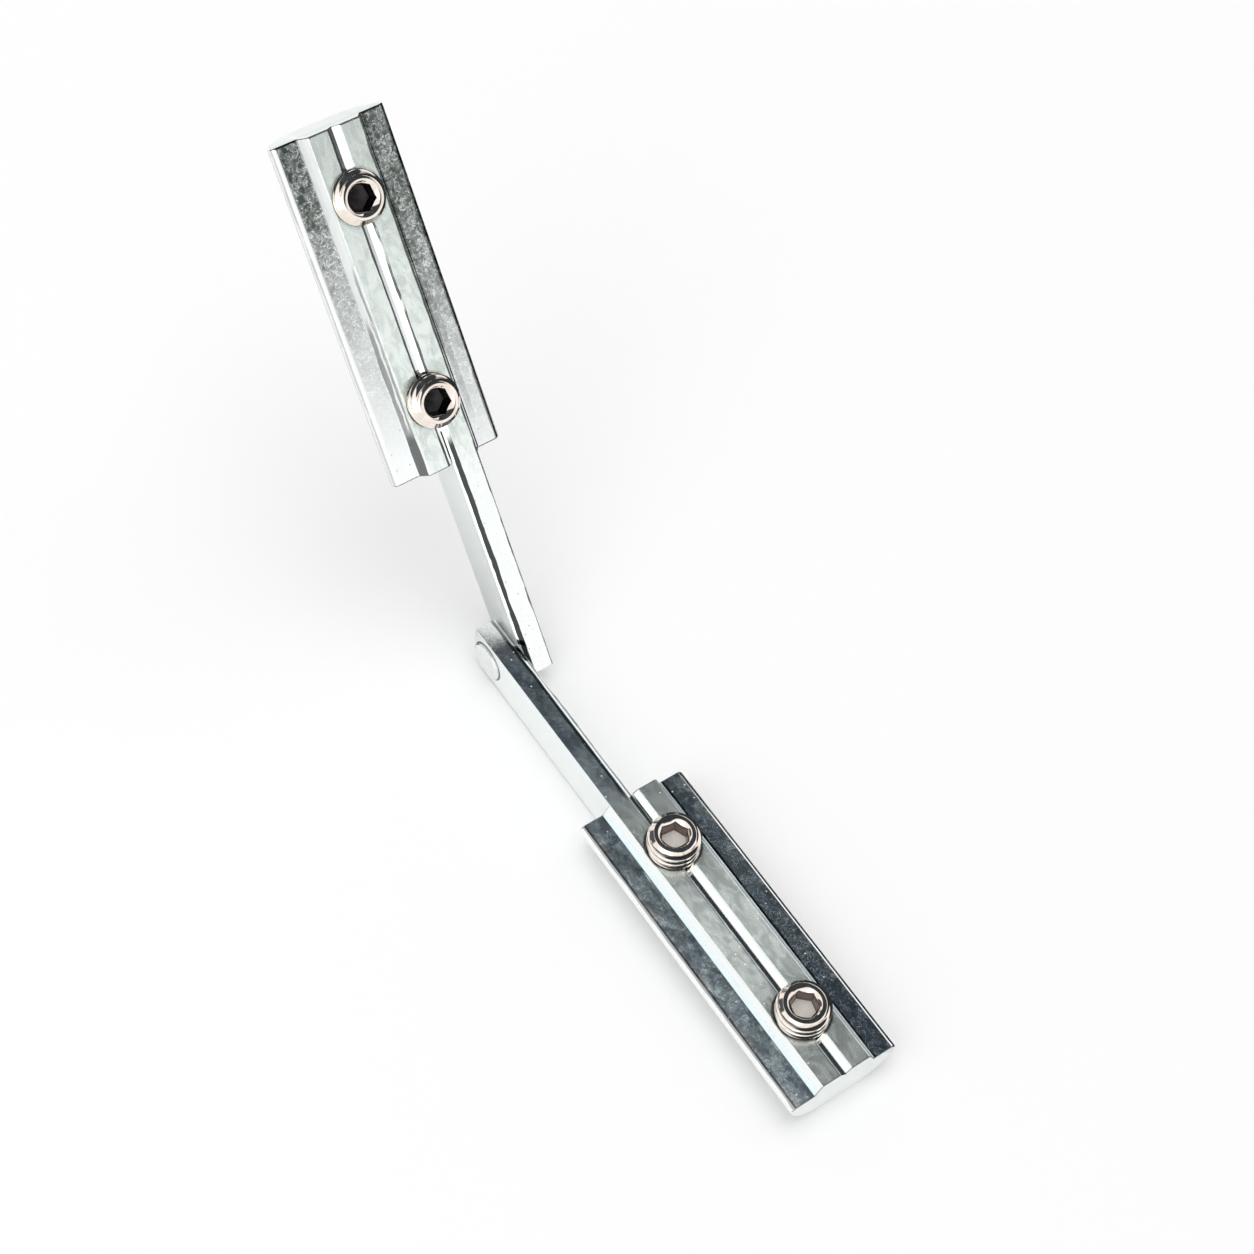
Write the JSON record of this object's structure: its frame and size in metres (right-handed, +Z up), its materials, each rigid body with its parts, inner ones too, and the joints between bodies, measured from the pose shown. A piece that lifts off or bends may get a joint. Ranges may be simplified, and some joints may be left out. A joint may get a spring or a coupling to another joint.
{
  "type": "profile pivot joint",
  "caption": "Slot pivot joint for framing profiles: T-section slide bars with half-width arms side by side on a rivet, clamped in the slots by socket set screws.",
  "frame": {"origin": "centre of the lower bar's flat underside", "axes": "X along the rivet, Y along the lower bar towards the rivet, Z up out of the lower bar's neck"},
  "size_m": [0.0176, 0.1345, 0.0698],
  "materials": {
    "bar_zinc": "bright zinc plating over drawn and milled steel, faintly mottled, with fine scratches",
    "rivet_zinc": "bright zinc plating, flat set head",
    "screw_nickel": "warm nickel plating, glossy, with rolled threads"
  },
  "bodies": {
    "lower_bar": {"lower_slide_bar": "bar_zinc", "pivot_rivet": "rivet_zinc"},
    "upper_bar": {"upper_slide_bar": "bar_zinc"},
    "lower_inner_screw": {"lower_inner_set_screw": "screw_nickel"},
    "lower_outer_screw": {"lower_outer_set_screw": "screw_nickel"},
    "upper_inner_screw": {"upper_inner_set_screw": "screw_nickel"},
    "upper_outer_screw": {"upper_outer_set_screw": "screw_nickel"}
  },
  "joints": [
    {"name": "pivot", "type": "hinge", "parent": "lower_bar", "child": "upper_bar", "pos_m": [0, 0.056, 0.004], "axis": [1, 0, 0], "range_deg": [-201.5, 98.5]},
    {"name": "lower_inner_screw_travel", "type": "slide", "parent": "lower_bar", "child": "lower_inner_screw", "axis": [0, 0, 1], "range_m": [-0.0034, 0.0016]},
    {"name": "lower_outer_screw_travel", "type": "slide", "parent": "lower_bar", "child": "lower_outer_screw", "axis": [0, 0, 1], "range_m": [-0.0032, 0.0018]},
    {"name": "upper_inner_screw_travel", "type": "slide", "parent": "upper_bar", "child": "upper_inner_screw", "axis": [0, -0.7826, 0.6225], "range_m": [-0.0026, 0.0024]},
    {"name": "upper_outer_screw_travel", "type": "slide", "parent": "upper_bar", "child": "upper_outer_screw", "axis": [0, -0.7826, 0.6225], "range_m": [-0.0017, 0.0033]}
  ]
}
